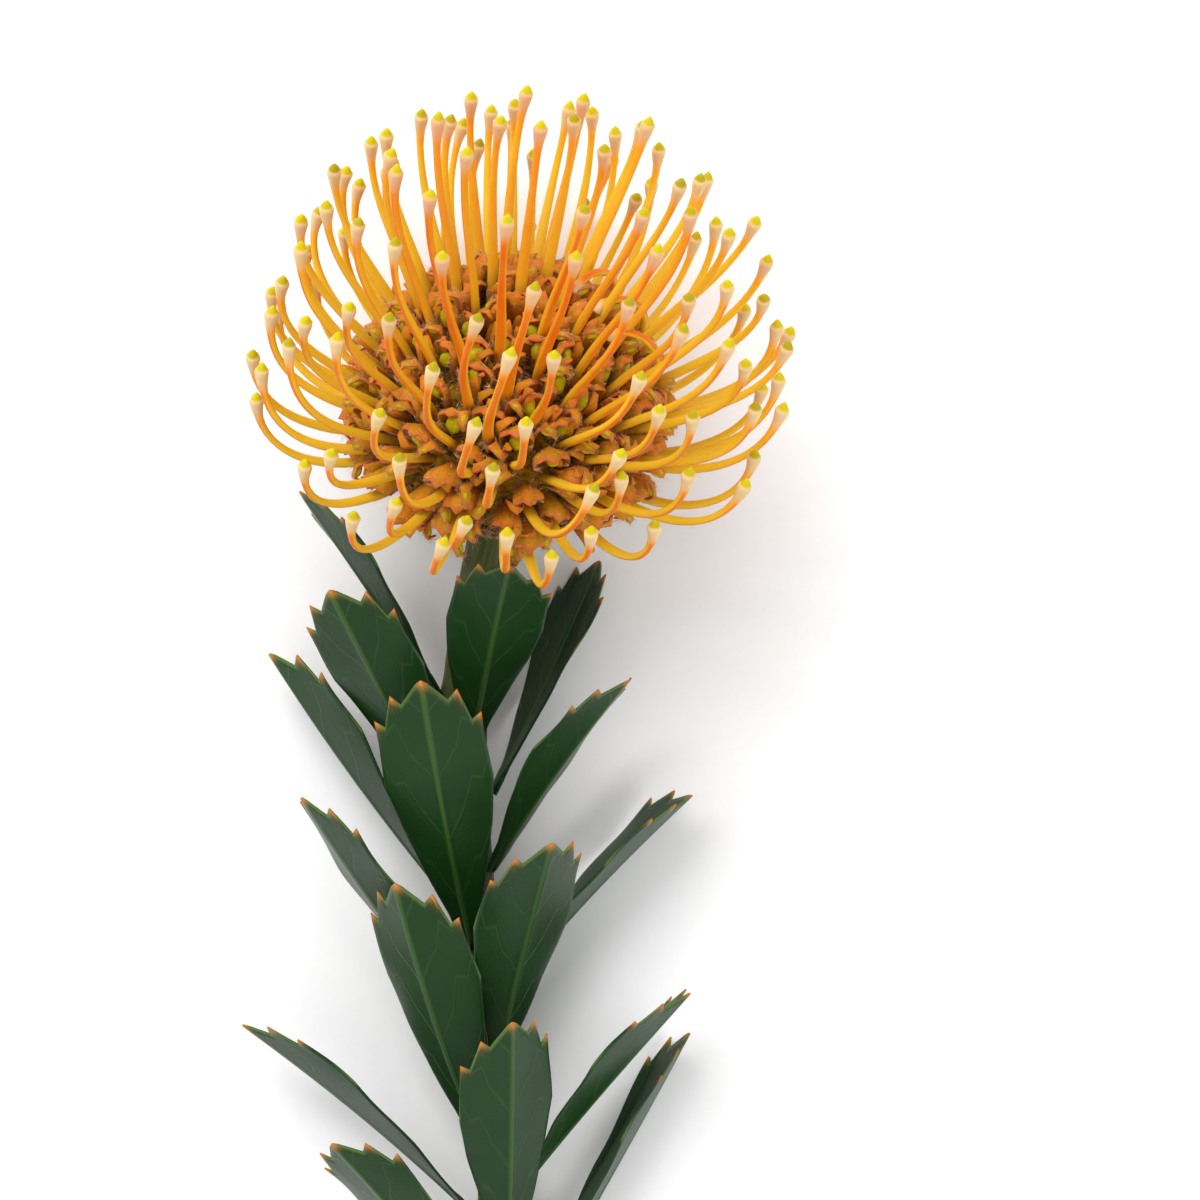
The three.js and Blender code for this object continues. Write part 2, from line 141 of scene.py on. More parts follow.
# A limb that held an anther is a drop: its radius and its height
LIMB_OUTLINE = ((0, 0), (0.55, 0.08), (0.92, 0.26), (1, 0.45), (0.8, 0.66), (0.42, 0.86), (0, 1))

# Three patches of hairs are drawn and shared out among the florets
HAIR_SEEDS = (40, 50, 60)
HAIR_LENGTH = 1.5 * MM
HAIR_GROUND = (4.2 * MM, 14 * MM)

# The stem and the leaves, as in the solids
STEM_AXIS_HEIGHT = 8.5
STEM_POINTS = ((-8.6, -52, 1.2), (-6.5, -100, -0.4), (-1.5, -160, -2.5), (3.5, -212, -4.3))
STEM_RADII = (5, 4.3, 3.9, 3.7, 3.8, 4.2)
STEM_SIDES = 32
STEM_RINGS = 150
SCAR_HEIGHT = 2.6 * MM
SCAR_WIDTH = 2 * MM
SCAR_SWELL = 0.45 * MM
LEAF_SWELL = 0.8 * MM
LEAF_PLACES = 28
LOWEST_TURN = -0.25
YOUNGEST_LEAF = 0.8
LEAF_THICKNESS = 0.7 * MM
LEAF_WAVE = 0.45 * MM
LEAF_STEPS = 24
LOWEST_LEAF = 0.55 * MM
FIRST_LEAF = 0.2
LAST_LEAF = 0.84
FIRST_LEAF_TURN = 160
LEAF_RISE = 38
LEAF_CURL = 16
LEAF_TWIST = 24
LEAF_DRAW = 23
# A leaf on the stem's lower side sinks by no more than this share of its length
LEAF_SINKING = 0.13
LEAF_SHARES = (0, 0.14, 0.3, 0.47, 0.63, 0.78, 0.86, 1.01)
LEAF_WIDTHS = (0.16, 0.3, 0.58, 0.84, 1, 0.97, 0.98, 0.98)
TOOTH_PLACES = (0, 0.1, 0.4375, 0.625, 0.8125, 1)
TOOTH_REACHES = (1, 0.99, 0.92, 0.95, 0.84, 0.86)
TOOTH_TIPS = ((0, 1), (0.62, 0.95), (0.98, 0.86))

# The bracts under the head, in rows from the stalk outwards
BRACTS = 88
BRACT_LENGTH = 9 * MM
BRACT_WIDTH = 5.6 * MM
BRACT_THICKNESS = 0.7 * MM
BRACT_BOW = 0.6 * MM
BRACT_GAP = 0.9 * MM
CUP_RIM = 130
CUP_FOOT = 164
CUP_THICKNESS = 1.1 * MM


def linear(code):
    """Turns an sRGB hex value into linear red, green and blue"""
    parts = [int(code[k : k + 2], 16) / 255 for k in (1, 3, 5)]
    return tuple(p / 12.92 if p <= 0.04045 else ((p + 0.055) / 1.055) ** 2.4 for p in parts)


def colour(name, note, code):
    return bpy.props.FloatVectorProperty(
        name=name, description=note, subtype="COLOR", size=3, min=0, max=1, default=linear(code)
    )


def length(name, note, metres):
    return bpy.props.FloatProperty(
        name=name, description=note, default=metres, min=0, unit="LENGTH", subtype="DISTANCE", precision=5
    )


class FlowerSizes(bpy.types.PropertyGroup):
    """Sizes of the finer pieces"""

    style_girth: bpy.props.FloatProperty(
        name="Style girth", description="Thickness of the styles, as a share of their usual one", default=1
    )
    hood_width: length("Hood width", "Width of a rolled perianth", 4.8 * MM)
    tepal_width: length("Tepal width", "Width of a free tepal", 1.9 * MM)
    limb_length: length("Limb length", "Length of the drop that held an anther", 5.4 * MM)
    limb_width: length("Limb width", "Width of the drop that held an anther", 2.7 * MM)
    hair_width: length("Hair width", "Thickness of a hair at its root", 0.11 * MM)
    hood_hairs: bpy.props.IntProperty(
        name="Hairs", description="Hairs on one perianth", default=90, min=0, max=200
    )
    leaf_length: length("Leaf length", "Length of a grown leaf", 56 * MM)
    leaf_half: length("Leaf half width", "Half the width of a grown leaf", 10 * MM)


class FlowerColours(bpy.types.PropertyGroup):
    """Colours of the flower and of the table"""

    style_outer: colour("Style, outer side", "Side that faces away from the head", "#E2700C")
    style_inner: colour("Style, inner side", "Side that faces the head", "#EAC22E")
    style_young: colour("Style, young", "Tint of the styles near the apex", "#E6680C")
    presenter: colour("Presenter", "Swollen end of a style", "#E2C99A")
    presenter_young: colour("Presenter, young", "Swollen end of a young style", "#DE9A80")
    cap: colour("Cap", "Pointed yellow end with the pollen", "#C6BE00")
    hood_inside: colour("Hood, inside", "Amber inner face of a perianth", "#DA9608")
    hood_outside: colour("Hood, outside", "Outer face of a perianth", "#DC9014")
    hood_margin: colour("Hood, margin", "Edges of a perianth", "#D0663E")
    limb: colour("Limb", "Drop that held an anther", "#C0BE0C")
    hair: colour("Hair", "Silky hair", "#F4DCAE")
    felt: colour("Felt", "Woolly ground between the florets", "#A87A16")
    bract: colour("Bract", "Downy bract under the head", "#80702E")
    bark: colour("Bark", "Young bark", "#565E2A")
    pith: colour("Pith", "Middle of the cut", "#CFC08A")
    leaf: colour("Leaf", "Leathery blade", "#12300F")
    leaf_vein: colour("Leaf vein", "Midrib and side veins", "#3A5C24")
    leaf_margin: colour("Leaf margin", "Thin light edge of a leaf", "#5E7A34")
    leaf_tooth: colour("Leaf tooth", "Gland at the end of a tooth", "#C8762A")
    table: colour("Table", "Pale ground", "#F6F6F6")


rad = math.radians


def lerp(a, b, share):
    return a + (b - a) * share


def clamp(value, low, high):
    return max(low, min(high, value))


def draw(index, kind):
    """Draws a number from -1 to 1 that is always the same for the same two indices"""
    wave = math.sin(index * 12.9898 + kind * 78.233 + 7) * 43758.5453
    return 2 * (wave - math.floor(wave)) - 1


def along(values, share):
    """Reads a row of values as one smooth run from 0 to 1"""
    place = clamp(share, 0, 1) * (len(values) - 1)
    low = min(int(place), len(values) - 2)
    return values[low] + (values[low + 1] - values[low]) * (place - low)


def between(places, values, place):
    """Reads a value off a row of places and values"""
    for k in range(len(places) - 1):
        if place <= places[k + 1]:
            return lerp(values[k], values[k + 1], (place - places[k]) / (places[k + 1] - places[k]))
    return values[-1]


def bowed(start, leave, end, arrive, t):
    """Follows a smooth bow from start to end, with the given ways and pulls at both"""
    square, cube = t * t, t * t * t
    first, last = 2 * cube - 3 * square + 1, 3 * square - 2 * cube
    return start * first + leave * (cube - 2 * square + t) + end * last + arrive * (cube - square)


HEAD_PLACE = (
    Matrix.Translation(HEAD_CENTRE)
    @ Matrix.Rotation(-rad(HEAD_ROLL), 4, "Z")
    @ Matrix.Rotation(rad(HEAD_PITCH - 90), 4, "X")
)


# ---- Shapes that are made once and then bent to their places ----


def turned(outline, sides):
    """Turns an outline of radius and height, with its ends on the axis, into a closed shape"""
    bm = bmesh.new()
    corners = [bm.verts.new((radius, 0, height)) for radius, height in outline]
    edges = [bm.edges.new(pair) for pair in zip(corners, corners[1:])]
    bmesh.ops.spin(
        bm,
        geom=corners + edges,
        cent=(0, 0, 0),
        axis=(0, 0, 1),
        angle=2 * math.pi,
        steps=sides,
        use_merge=True,
    )
    bmesh.ops.remove_doubles(bm, verts=bm.verts, dist=1e-6)
    return bm


def slab(columns, rows):
    """Makes a closed slab: x from -1 to 1 across, y from 0 to 1 along, z from 0 to 1 through"""
    bm = bmesh.new()
    bmesh.ops.create_grid(bm, x_segments=columns, y_segments=rows, size=1)
    bmesh.ops.transform(bm, matrix=Matrix.Diagonal((1, 0.5, 1, 1)), verts=bm.verts)
    bmesh.ops.translate(bm, vec=(0, 0.5, 0), verts=bm.verts)
    made = bmesh.ops.extrude_face_region(bm, geom=bm.faces[:])
    upper = [item for item in made["geom"] if isinstance(item, bmesh.types.BMVert)]
    bmesh.ops.translate(bm, vec=(0, 0, 1), verts=upper)
    return bm


def kept(name, bm):
    """Stores a shape as a mesh"""
    mesh = bpy.data.meshes.new(name)
    bm.to_mesh(mesh)
    bm.free()
    return mesh


def unit_hair():
    """Makes one hair of length 1 along z, three-sided and pointed"""
    bm = bmesh.new()
    bmesh.ops.create_cone(bm, cap_ends=True, segments=3, radius1=1, radius2=0, depth=1)
    bmesh.ops.translate(bm, vec=(0, 0, 0.5), verts=bm.verts)
    bmesh.ops.remove_doubles(bm, verts=bm.verts, dist=1e-4)
    return bm


def start_piece(*marks):
    """Starts an empty piece whose points can carry the named values"""
    bm = bmesh.new()
    for mark in marks:
        bm.verts.layers.float.new(mark)
    return bm


def add_copies(bm, shape, movers):
    """Adds a copy of a shape for each mover, which gives a point its new place and its values"""
    mesh = kept("shape", shape)
    for move in movers:
        first = len(bm.verts)
        bm.from_mesh(mesh)
        bm.verts.ensure_lookup_table()
        for vert in bm.verts[first:]:
            vert.co, marks = move(vert.co.copy())
            for mark, value in marks.items():
                vert[bm.verts.layers.float[mark]] = value
    bpy.data.meshes.remove(mesh)


def finish_piece(name, bm, material, replaces=()):
    """Turns the faces outward, shades them smooth and hands the piece to the frame"""
    bmesh.ops.recalc_face_normals(bm, faces=bm.faces)
    for face in bm.faces:
        face.smooth = True
    mesh = kept(name, bm)
    mesh.materials.append(material)
    piece = bpy.data.objects.new(name, mesh)
    bpy.context.scene.collection.objects.link(piece)
    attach(piece, "root")
    if replaces:
        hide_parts(*replaces)
    return piece


# ---- The head ----


def floret(index):
    """Gives one floret's angle from the head's axis and its turn round it"""
    top, bottom = math.cos(rad(FIRST_FLORET)), math.cos(rad(LAST_FLORET))
    angle = math.acos(lerp(top, bottom, (index + 0.5) / FLORETS)) + rad(SPREAD_ANGLE) * draw(index, 1)
    turn = index * rad(GOLDEN_TURN) + rad(SPREAD_TURN) * draw(index, 2)
    return angle, turn


def in_head(radius, turn, height, shift=0):
    """Places a point given by its distance from the axis, its turn and its height in the head"""
    spot = Vector((radius * math.sin(turn), radius * math.cos(turn), height))
    return HEAD_PLACE @ (spot + BOWL_SHIFT * shift)


def floret_frame(index):
    """Gives a floret's foot on the core and the ways it rises and leans back"""
    angle, turn = floret(index)
    lean = rad(LOWEST_LEAN) * (angle / rad(LAST_FLORET)) ** LEAN_GROWTH
    foot = Vector((CORE_RADIUS * math.sin(angle), CORE_HEIGHT * math.cos(angle)))
    return foot, Vector((math.sin(lean), math.cos(lean))), Vector((-math.cos(lean), math.sin(lean))), turn


def in_floret(index, rise, back, aside):
    """Places a point above a floret's foot: rise off the core, back to the apex, aside round the head"""
    foot, outward, upward, turn = floret_frame(index)
    apart = 1 + rise / CORE_RADIUS
    spot = foot + outward * rise + upward * back * apart
    across = aside * apart
    x = spot.x * math.sin(turn) + across * math.cos(turn)
    y = spot.x * math.cos(turn) - across * math.sin(turn)
    return HEAD_PLACE @ Vector((x, y, spot.y))


def free_style(index):
    """Follows a style that has sprung free, from inside the core to its tip on the bowl"""
    angle, _ = floret(index)
    foot, leave, _, turn = floret_frame(index)
    sway = rad(SPREAD_SWAY * draw(index, 5))
    end = rad(STYLE_LEAN_IN + SPREAD_LEAN * draw(index, 4))
    tip_height = BOWL_HEIGHT + BOWL_RISE * math.cos(BOWL_FALL * angle)
    tip = Vector((BOWL_RADIUS * math.sin(BOWL_TURN * angle), tip_height))
    tip += Vector((draw(index, 4), draw(index, 3))) * SPREAD_TIP
    pull = (tip - foot).length * (1 + STYLE_BOW * angle / rad(LAST_FLORET))
    arrive = Vector((math.sin(end), math.cos(end)))
    points = []
    for k in range(CURVE_STEPS + 1):
        share = k / CURVE_STEPS
        free = (share - STYLE_STRAIGHT) / (1 - STYLE_STRAIGHT)
        if free < 0:
            spot = foot - leave * STYLE_INSIDE * (1 - share / STYLE_STRAIGHT)
        else:
            spot = bowed(foot, leave * pull, tip, arrive * pull, free)
        points.append(in_head(spot.x, turn + sway * share * share, spot.y, share * share))
    return points


def held_style(index):
    """Follows a style that is still looped back to its own perianth"""
    points = []
    for k in range(CURVE_STEPS + 1):
        share = k / CURVE_STEPS
        inside = -STYLE_INSIDE * max(0, 1 - share / STYLE_STRAIGHT)
        arc = rad(LOOP_TURN) * max(0, (share - STYLE_STRAIGHT) / (1 - STYLE_STRAIGHT))
        turned_in = (1 - math.cos(arc)) / 2
        rise = inside + LOOP_REACH * math.sin(arc)
        points.append(in_floret(index, rise, LOOP_BACK * turned_in, LOOP_WIDTH * turned_in))
    return points


def style_course(index):
    """Gives the places and the sideways and inward ways along a style"""
    places = held_style(index) if index in HELD_STYLES else free_style(index)
    turn = floret(index)[1]
    level = HEAD_PLACE.to_3x3() @ Vector((math.cos(turn), -math.sin(turn), 0))
    course = []
    for k, place in enumerate(places):
        heading = (places[min(k + 1, CURVE_STEPS)] - places[max(k - 1, 0)]).normalized()
        sideways = (level - heading * level.dot(heading)).normalized()
        course.append((place, sideways, sideways.cross(heading)))
    return course


def on_course(course, share):
    """Reads the place and the ways at a share of a course"""
    return [along([step[k] for step in course], share) for k in range(3)]


def age_of(index):
    """Gives 0 for a floret at the apex and 1 for one at the foot of the head, a little uneven"""
    return clamp((index + 0.5) / FLORETS + 0.12 * draw(index, 31), 0, 1)


def style_mover(index, girth):
    """Gives the function that bends a straight style along one floret's course"""
    course = style_course(index)
    age = age_of(index)
    tone = 0.5 + 0.5 * draw(index, 37)
    steps = {}

    def move(co):
        share = co.z
        if share not in steps:
            steps[share] = on_course(course, share)
        place, sideways, inward = steps[share]
        reach = math.hypot(co.x, co.y)
        flat = STYLE_FLATTENING * clamp((0.8 - share) / 0.4, 0, 1)
        lift = max(0, reach * girth - place.z)
        spot = place + sideways * co.x * girth * (1 + flat) + inward * co.y * girth * (1 - flat)
        spot.z += lift
        inner = 0.5 + 0.5 * co.y / reach if reach > 0 else 0.5
        return spot, {"share": share, "inner": inner, "age": age, "tone": tone}

    return move


def rolled(share, rising, top, back, roll_radius, roll):
    """Follows a strip that rises and then rolls over: its rise, its place back and its outward way"""
    if share < rising:
        return lerp(HOOD_FOOT, top, share / rising), back, Vector((0, 1))
    turn = rad(roll) * (share - rising) / (1 - rising)
    out = Vector((math.sin(turn), math.cos(turn)))
    return top + roll_radius * out.x, back - roll_radius + roll_radius * out.y, out


def hood_spot(index, across, share, height, width):
    """Follows a bonnet of three ridges, up behind the style and over it, its margins bent round it"""
    size = (1 + 0.12 * draw(index, 6)) * (0.82 + 0.18 * min(1, index / 12))
    ridge = abs(math.cos(1.5 * math.pi * across))
    share -= (0.1 * across**2 + 0.09 * (1 - ridge)) * share**4
    rise, back, out = rolled(share, HOOD_RISING, HOOD_TOP, HOOD_BACK, HOOD_ROLL_RADIUS, HOOD_ROLL)
    bend = rad(HOOD_BEND) * across
    aside = width / 2 * between(HOOD_SHARES, HOOD_WIDTHS, share) * math.sin(bend)
    inset = height + HOOD_RIDGE * ridge - HOOD_DEPTH * (1 - math.cos(bend))
    rise += out.x * inset
    back += out.y * inset
    twist = rad(HOOD_TWIST * draw(index, 7))
    middle = HOOD_BACK - HOOD_ROLL_RADIUS
    near = back - middle
    back = middle + near * math.cos(twist) - aside * math.sin(twist)
    aside = near * math.sin(twist) + aside * math.cos(twist)
    back += rise * math.tan(rad(HOOD_NOD * draw(index, 8)))
    return in_floret(index, rise * size, back * size, aside * size)


def tepal_spot(index, kind, across, share, height, width):
    """Follows a narrow strip of perianth that stands away from the style and curls outward"""
    top = TEPAL_TOP + 1.1 * MM * draw(index, 14 + kind)
    rise, back, out = rolled(share, TEPAL_RISING, top, 0, TEPAL_CURL_RADIUS, TEPAL_CURL[kind])
    rise += out.x * height
    away = TEPAL_AWAY[kind] + 0.4 * MM * draw(index, 12 + kind) - back - out.y * height
    wide = width / 2 * across * (1.15 - 0.35 * share - 0.65 * share**5)
    turn = rad(TEPAL_TURN[kind] * (1 if draw(index, 19) > 0 else -1) + 24 * draw(index, 40 + kind))
    aside = away * math.sin(turn) + wide * math.cos(turn)
    back = wide * math.sin(turn) - away * math.cos(turn)
    return in_floret(index, rise, back, aside)


def limb_mover(index, kind, sizes):
    """Hangs a drop under the bonnet's roof, or at the end of the free tepal"""
    size = 1 + 0.2 * draw(index, 21 + kind)
    if kind == 0:
        lean = 0.35 * draw(index, 23)
        top = hood_spot(index, lean, 0.94, -0.5 * MM, sizes.hood_width)
        below = hood_spot(index, -0.2 * lean, 0.5, -2 * MM, sizes.hood_width)
    else:
        size *= 0.62
        top = tepal_spot(index, 0, 0, 0.88, 0.2 * MM, sizes.tepal_width)
        below = tepal_spot(index, 0, 0, 0.55, 1.2 * MM, sizes.tepal_width)
    way = (below - top).normalized()
    side = way.orthogonal().normalized()
    other = way.cross(side)
    wide = sizes.limb_width / 2 * size

    # Three of the limbs stay joined, with a groove between each two
    def move(co):
        groove = 1 - 0.22 * max(0, math.cos(3 * math.atan2(co.y, co.x)))
        aside = (side * co.x + other * co.y) * wide * groove
        return top + way * co.z * sizes.limb_length * size + aside, {"share": co.z}

    return move


class OBJECT_OT_flower_styles(bpy.types.Operator):
    """Make the long styles with their pollen presenters"""

    bl_idname = "object.flower_styles"
    bl_label = "Styles"

    def execute(self, context):
        girth = context.scene.flower_sizes.style_girth
        outline = [(radius * MM, share) for share, radius in STYLE_OUTLINE]
        bm = start_piece("share", "inner", "age", "tone")
        movers = [style_mover(index, girth) for index in range(FLORETS)]
        add_copies(bm, turned(outline, STYLE_SIDES), movers)
        finish_piece("styles", bm, style_material(context), ["flower_head"])
        return {"FINISHED"}


class OBJECT_OT_flower_perianths(bpy.types.Operator):
    """Make the rolled perianths, the free tepals and the limbs that held the anthers"""

    bl_idname = "object.flower_perianths"
    bl_label = "Perianths"

    def execute(self, context):
        sizes = context.scene.flower_sizes
        material = perianth_material(context)

        def hood(index, co):
            spot = hood_spot(index, co.x, co.y, co.z * HOOD_THICKNESS, sizes.hood_width)
            ridge = abs(math.cos(1.5 * math.pi * co.x))
            return spot, dict(zip(PERIANTH_MARKS, (co.y, abs(co.x), ridge, 1 - co.z, age_of(index))))

        def tepal(index, kind, co):
            spot = tepal_spot(index, kind, co.x, co.y, co.z * HOOD_THICKNESS, sizes.tepal_width)
            return spot, dict(zip(PERIANTH_MARKS, (co.y, abs(co.x), 1, 0, age_of(index))))

        bm = start_piece(*PERIANTH_MARKS)
        add_copies(bm, slab(8, 8), [partial(hood, index) for index in range(FLORETS)])
        finish_piece("perianths", bm, material, ["flower_head"])

        bm = start_piece(*PERIANTH_MARKS)
        movers = [partial(tepal, index, kind) for index in range(FLORETS) for kind in range(4)]
        add_copies(bm, slab(2, 8), movers)
        finish_piece("free_tepals", bm, material, ["flower_head"])

        bm = start_piece("share")
        movers = [limb_mover(index, kind, sizes) for index in range(FLORETS) for kind in range(2)]
        add_copies(bm, turned(LIMB_OUTLINE, 9), movers)
        finish_piece("limbs", bm, limb_material(context), ["flower_head"])
        return {"FINISHED"}


class OBJECT_OT_flower_hairs(bpy.types.Operator):
    """Make the silky hairs on the perianths and between them"""

    bl_idname = "object.flower_hairs"
    bl_label = "Hairs"

    def execute(self, context):
        sizes = context.scene.flower_sizes
        half = sizes.hood_width / 2
        strip = (HOOD_TOP - HOOD_FOOT) / HOOD_RISING

        # A patch's x and y are shares of the hood, so a hair's width is a share of it too
        def hair(seed, k):
            out = edge = 1 if k % 2 else -1
            if k % 3 == 0:
                edge *= 0.5 + 0.5 * draw(k, seed + 1)
            foot = Vector((edge, 0.66 + 0.33 * draw(k, seed), 0.2 * MM))
            long = HAIR_LENGTH * (1 + 0.4 * draw(k, seed + 2))
            across = (0.5 * out + 0.5 * draw(k, seed + 3)) * long / half
            upward = (0.25 + 0.5 * draw(k, seed + 4)) * long / strip
            way = Vector((across, upward, long * (0.55 + 0.45 * draw(k, seed + 5))))

            def move(co):
                wide = Vector((co.x / half, 0, co.y)) * sizes.hair_width / 2
                return foot + way * co.z + wide, {}

            return move

        def on_hood(index, co):
            return hood_spot(index, co.x, co.y, co.z, sizes.hood_width), {}

        def on_tepal(index, co):
            return tepal_spot(index, 0, co.x, co.y, co.z, sizes.tepal_width), {}

        def on_ground(index, co):
            across, back = HAIR_GROUND[0] * co.x, HAIR_GROUND[1] * (co.y - 0.8)
            return in_floret(index, 1.6 * co.z - 2.2 * MM, back, across), {}

        bm = start_piece()
        for number, seed in enumerate(HAIR_SEEDS):
            patch = start_piece()
            add_copies(patch, unit_hair(), map(partial(hair, seed), range(sizes.hood_hairs)))
            movers = [
                partial(place, index)
                for index in range(FLORETS)
                for shift, place in enumerate((on_hood, on_tepal, on_ground))
                if (index + shift) % len(HAIR_SEEDS) == number
            ]
            add_copies(bm, patch, movers)
        finish_piece("head_hairs", bm, hair_material(context), ["flower_head"])
        return {"FINISHED"}


class OBJECT_OT_flower_receptacle(bpy.types.Operator):
    """Make the woolly core with its stalk, and the young florets in the dimple at its top"""

    bl_idname = "object.flower_receptacle"
    bl_label = "Receptacle"

    def execute(self, context):
        # The wool is low between the florets and fills the cup of bracts
        outline = [(0, WOOL_HEIGHT)]
        for lean in range(8, 168, 8):
            fill = clamp((lean - CUP_RIM + 18) / 14, 0, 1)
            wide = lerp(WOOL_RADIUS, CORE_RADIUS, fill)
            high = lerp(WOOL_HEIGHT, CORE_HEIGHT, fill)
            outline.append((wide * math.sin(rad(lean)), high * math.cos(rad(lean))))
        outline += [(STALK_RADIUS, STALK_END + 3 * MM), (STALK_RADIUS, STALK_END), (0, STALK_END)]

        def core(co):
            return HEAD_PLACE @ co, {"stalk": 1 if co.z < STALK_END + 3.5 * MM else 0}

        bm = start_piece("stalk")
        add_copies(bm, turned(outline, CORE_SIDES), [core])
        finish_piece("receptacle", bm, felt_material(context), ["flower_head"])

        def bud(index):
            spread = 1.1 + 5.2 * math.sqrt((index + 0.5) / YOUNG_FLORETS)
            turn = index * rad(GOLDEN_TURN)
            foot = in_head(spread * MM, turn, WOOL_HEIGHT - 1 * MM)
            tip = in_head(spread * 0.72 * MM, turn + 0.3, CORE_HEIGHT + (0.2 + 0.6 * spread) * MM)
            way = tip - foot
            side = way.orthogonal().normalized()
            other = way.normalized().cross(side)

            def move(co):
                spot = foot + way * co.z + (side * co.x + other * co.y) * BUD_RADIUS
                return spot, {"share": 0.4 + 0.5 * co.z, "ridge": 1, "age": 0}

            return move

        bm = start_piece(*PERIANTH_MARKS)
        add_copies(bm, turned(BUD_OUTLINE, 8), map(bud, range(YOUNG_FLORETS)))
        finish_piece("young_florets", bm, perianth_material(context), ["flower_head"])
        return {"FINISHED"}


class OBJECT_OT_flower_bracts(bpy.types.Operator):
    """Make the cup of downy bracts under the head"""

    bl_idname = "object.flower_bracts"
    bl_label = "Bracts"

    def execute(self, context):
        near, far = CLEARANCE + 0.2 * MM, CLEARANCE + 0.2 * MM + CUP_THICKNESS
        leans = [rad(lerp(CUP_RIM, CUP_FOOT, k / 8)) for k in range(9)]
        outline = []
        for gap, row in ((far, leans), (near, leans[::-1])):
            outline += [((CORE_RADIUS + gap) * math.sin(a), (CORE_HEIGHT + gap) * math.cos(a)) for a in row]
        outline.append(outline[0])

        def cup(co):
            return HEAD_PLACE @ co, {"share": 0.2}

        def bract(index):
            turn = index * rad(GOLDEN_TURN)
            row = index / BRACTS
            foot = rad(lerp(CUP_RIM + 13, CUP_FOOT, row**0.7))
            tip = foot - BRACT_LENGTH * (0.85 + 0.15 * draw(index, 33)) / CORE_RADIUS
            lift = (0.3 + 0.6 * row) * MM

            def move(co):
                lean = lerp(foot, tip, co.y)
                wide = BRACT_WIDTH / 2 * co.x * (0.75 + 0.6 * co.y) * (1 - co.y**2.2)
                gap = CLEARANCE + BRACT_GAP + lift
                gap += BRACT_THICKNESS * co.z * (1 - 0.6 * co.x**2) + BRACT_BOW * co.y * (1 - co.y)
                out = (CORE_RADIUS + gap) * math.sin(lean)
                spot = in_head(out, turn + math.atan2(wide, out), (CORE_HEIGHT + gap) * math.cos(lean))
                return spot, {"share": co.y, "margin": abs(co.x)}

            return move

        bm = start_piece("share", "margin")
        add_copies(bm, turned(outline, CORE_SIDES), [cup])
        add_copies(bm, slab(6, 8), map(bract, range(BRACTS)))
        finish_piece("bracts", bm, bract_material(context), ["involucre"])
        return {"FINISHED"}


# ---- The stem and the leaves ----


def stem_line():
    """Follows the middle of the stem from under the head to the cut, in 400 even steps"""
    start = HEAD_PLACE @ Vector((0, 0, STALK_END - CLEARANCE))
    below = HEAD_PLACE @ Vector((0, 0, STALK_END - 5 * MM))
    knots = [start, below]
    for x, y, z in STEM_POINTS:
        height = (STEM_AXIS_HEIGHT + z) * MM
        knots.append(Vector((HEAD_CENTRE.x + x * MM, HEAD_CENTRE.y + y * MM, height)))
    knots = [knots[0] * 2 - knots[1]] + knots + [knots[-1] * 2 - knots[-2]]
    points = []
    for k in range(1, len(knots) - 2):
        p0, p1, p2, p3 = knots[k - 1 : k + 3]
        d0, d1, d2 = [math.sqrt((b - a).length) for a, b in ((p0, p1), (p1, p2), (p2, p3))]
        leave = ((p1 - p0) / d0 - (p2 - p0) / (d0 + d1) + (p2 - p1) / d1) * d1
        reach = ((p2 - p1) / d1 - (p3 - p1) / (d1 + d2) + (p3 - p2) / d2) * d1
        for step in range(80):
            t = step / 80
            points.append(bowed(p1, leave, p2, reach, t))
    points.append(knots[-2])
    gone = [0]
    for a, b in zip(points, points[1:]):
        gone.append(gone[-1] + (b - a).length)
    even = []
    k = 0
    for step in range(401):
        aim = gone[-1] * step / 400
        while k < len(points) - 2 and gone[k + 1] < aim:
            k += 1
        even.append(points[k].lerp(points[k + 1], (aim - gone[k]) / (gone[k + 1] - gone[k])))
    return even, gone[-1]


STEM_LINE, STEM_LENGTH = stem_line()


def on_stem(share):
    """Gives a place on the stem's middle line, with the ways up the stem, level across it and to its top"""
    place = along(STEM_LINE, share)
    up = (along(STEM_LINE, share - 0.004) - along(STEM_LINE, share + 0.004)).normalized()
    level = up.cross(Vector((0, 0, 1))).normalized()
    return place, up, level, level.cross(up)


def leaf_share(index):
    return lerp(FIRST_LEAF, LAST_LEAF, index / (LEAF_PLACES - 1))


def leaf_turn(index):
    return rad(FIRST_LEAF_TURN) + index * rad(GOLDEN_TURN) + rad(6) * draw(index, LEAF_DRAW)


def leaf_grows(index):
    return math.sin(leaf_turn(index)) > LOWEST_TURN


